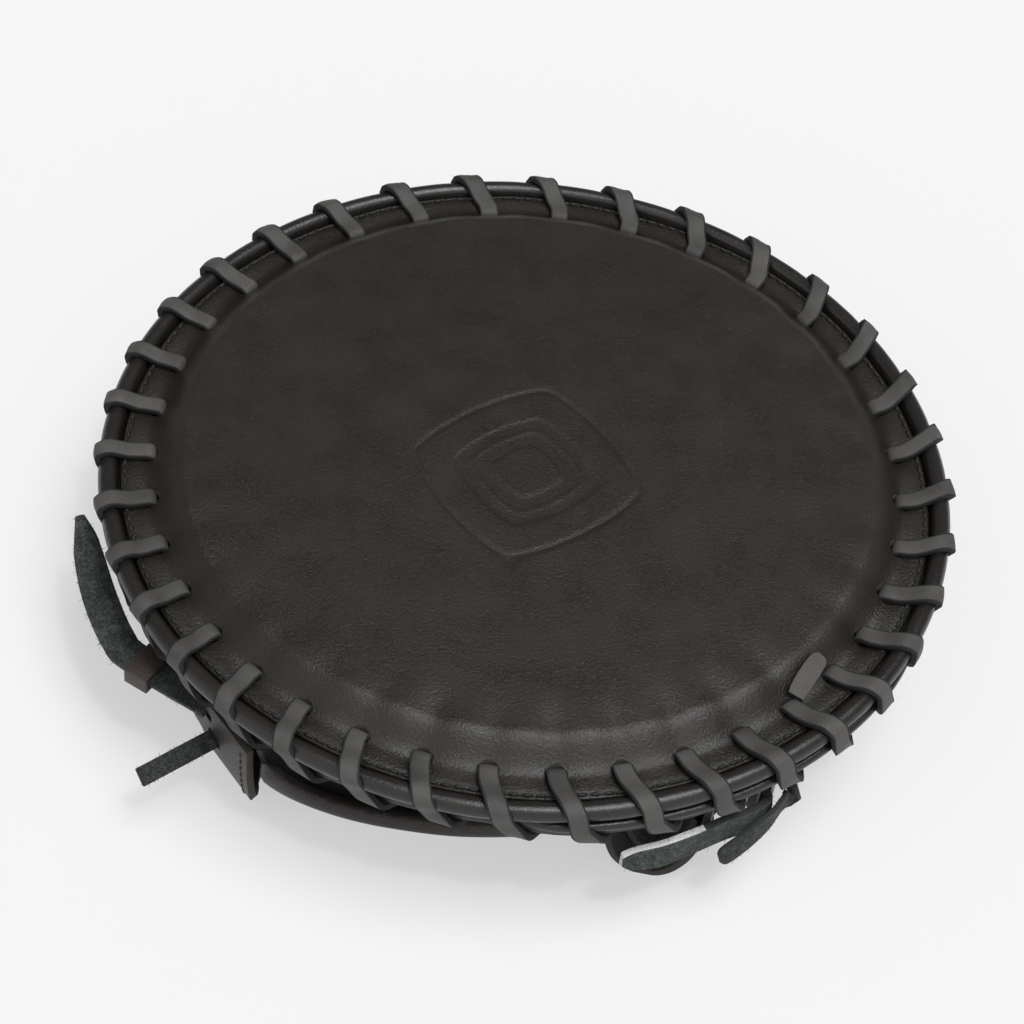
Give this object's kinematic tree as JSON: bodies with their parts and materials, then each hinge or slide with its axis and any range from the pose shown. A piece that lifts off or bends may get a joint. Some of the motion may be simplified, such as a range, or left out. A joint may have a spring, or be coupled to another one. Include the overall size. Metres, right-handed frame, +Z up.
{
  "type": "baseball fielding trainer",
  "caption": "Round flat leather fielding trainer with a laced rim, thumb and little finger stalls, a finger sleeve and a padded wrist band.",
  "frame": {"origin": "on the surface that the trainer lies on, hand side down, under the middle of its outline", "axes": "+Z up through the striking face, +Y towards the fingertips, +X towards the little finger"},
  "size_m": [0.2574, 0.2574, 0.0568],
  "materials": {
    "face_leather": "smooth, semi-gloss, fine grain",
    "back_leather": "smooth grain",
    "palm_leather": "soft, matt",
    "welt_leather": "smooth, glossy folds",
    "lace_leather": "matt charcoal with rough cut edges",
    "hand_leather": "soft grain, creased",
    "suede": "grey flecked suede",
    "keeper_leather": "brown grain with pale cut edges",
    "tie_leather": "suede lace",
    "felt": "wool felt",
    "lining": "brushed lining",
    "board": "plain"
  },
  "bodies": {
    "pad": {"face_panel": "face_leather", "felt_pad": "felt", "stiffener_board": "board", "back_panel": "back_leather", "palm_panel": "palm_leather", "face_welt": "welt_leather", "back_welt": "welt_leather", "rim_lace": "lace_leather", "rim_lace_end": "lace_leather", "thumb_stall": "hand_leather", "little_finger_stall": "hand_leather", "thumb_loop": "suede", "little_finger_loop": "suede", "finger_sleeve": "hand_leather", "finger_sleeve_lining": "lining", "wrist_band": "hand_leather", "wrist_band_piping": "hand_leather", "thumb_keeper": "keeper_leather", "thumb_tie_lace": "tie_leather", "little_finger_keeper": "keeper_leather"},
    "thumb_strap": {"thumb_strap_end": "suede"},
    "little_finger_strap": {"little_finger_strap_end": "suede", "little_finger_tie_lace": "tie_leather"},
    "wrist_pad": {"wrist_padding": "felt", "wrist_lining": "lining"}
  },
  "joints": [
    {"name": "thumb_strap_pull", "type": "slide", "parent": "pad", "child": "thumb_strap", "axis": [-0.9205, 0.3907, 0], "range_m": [0, 0.006], "deforming": ["thumb_loop"]},
    {"name": "little_finger_strap_pull", "type": "slide", "parent": "pad", "child": "little_finger_strap", "axis": [0.5844, -0.8114, 0], "range_m": [0, 0.006], "deforming": ["little_finger_loop"]},
    {"name": "wrist_band_press", "type": "slide", "parent": "pad", "child": "wrist_pad", "axis": [0, 0, 1], "range_m": [0, 0.01], "deforming": ["wrist_band", "wrist_band_piping"]}
  ]
}
